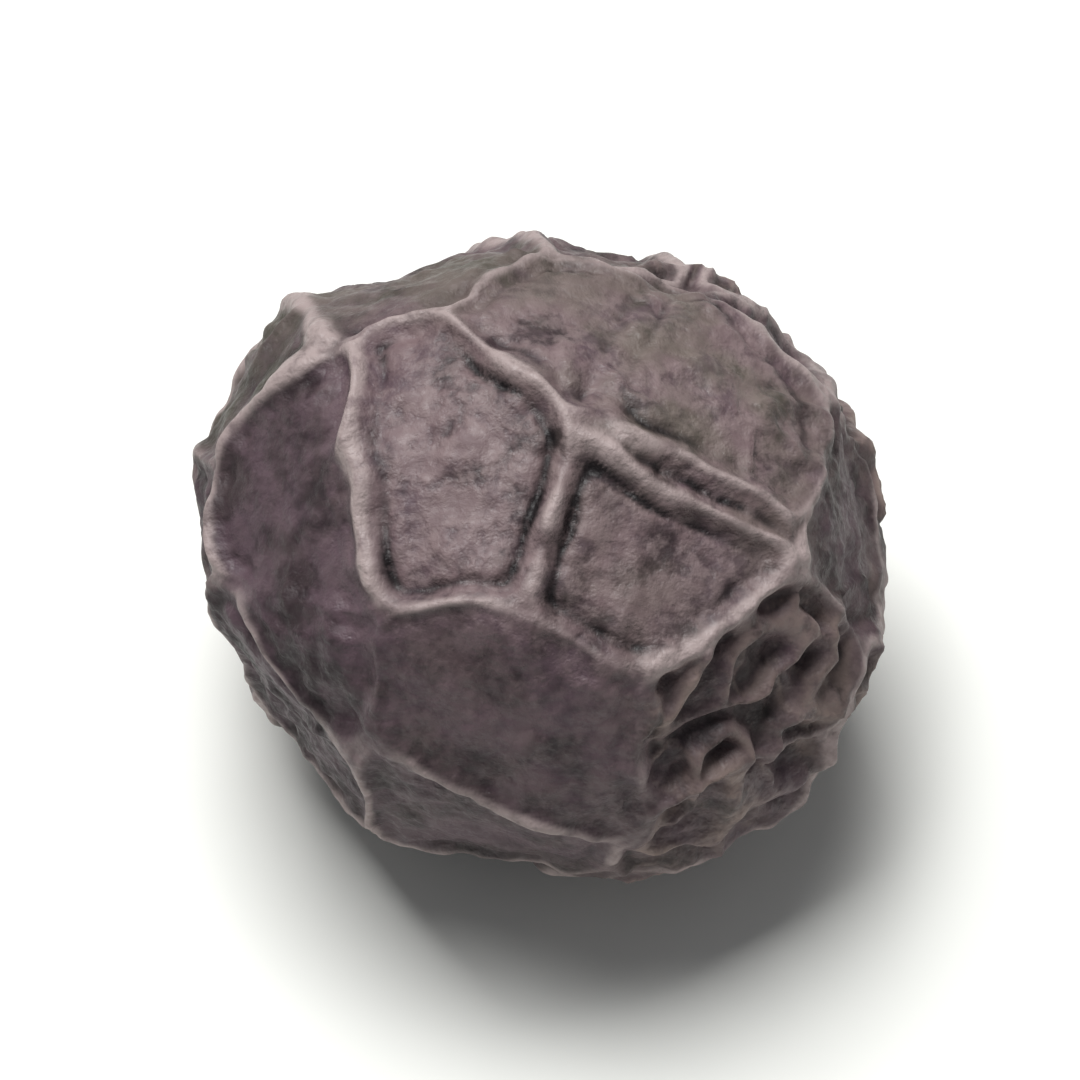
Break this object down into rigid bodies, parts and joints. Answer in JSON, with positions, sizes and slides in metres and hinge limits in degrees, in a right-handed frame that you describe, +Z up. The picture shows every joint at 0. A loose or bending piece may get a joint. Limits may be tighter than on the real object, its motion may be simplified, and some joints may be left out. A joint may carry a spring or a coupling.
{
  "type": "black peppercorn",
  "caption": "Dried black pepper berry: a rounded, shrunken fruit whose dark skin stands up in a raised net of wrinkles, with a stalk scar.",
  "frame": {"origin": "centre of the bounding box at its lowest level, the plane of the small flat that the berry rests on", "axes": "+Z up, +X along the berry's longest extent, the pictured side faces -Y and +Z, 60 degrees above level"},
  "size_m": [0.0056, 0.0054, 0.005],
  "materials": {
    "dried_skin": null
  },
  "bodies": {
    "root": {"peppercorn": "dried_skin"}
  },
  "joints": []
}
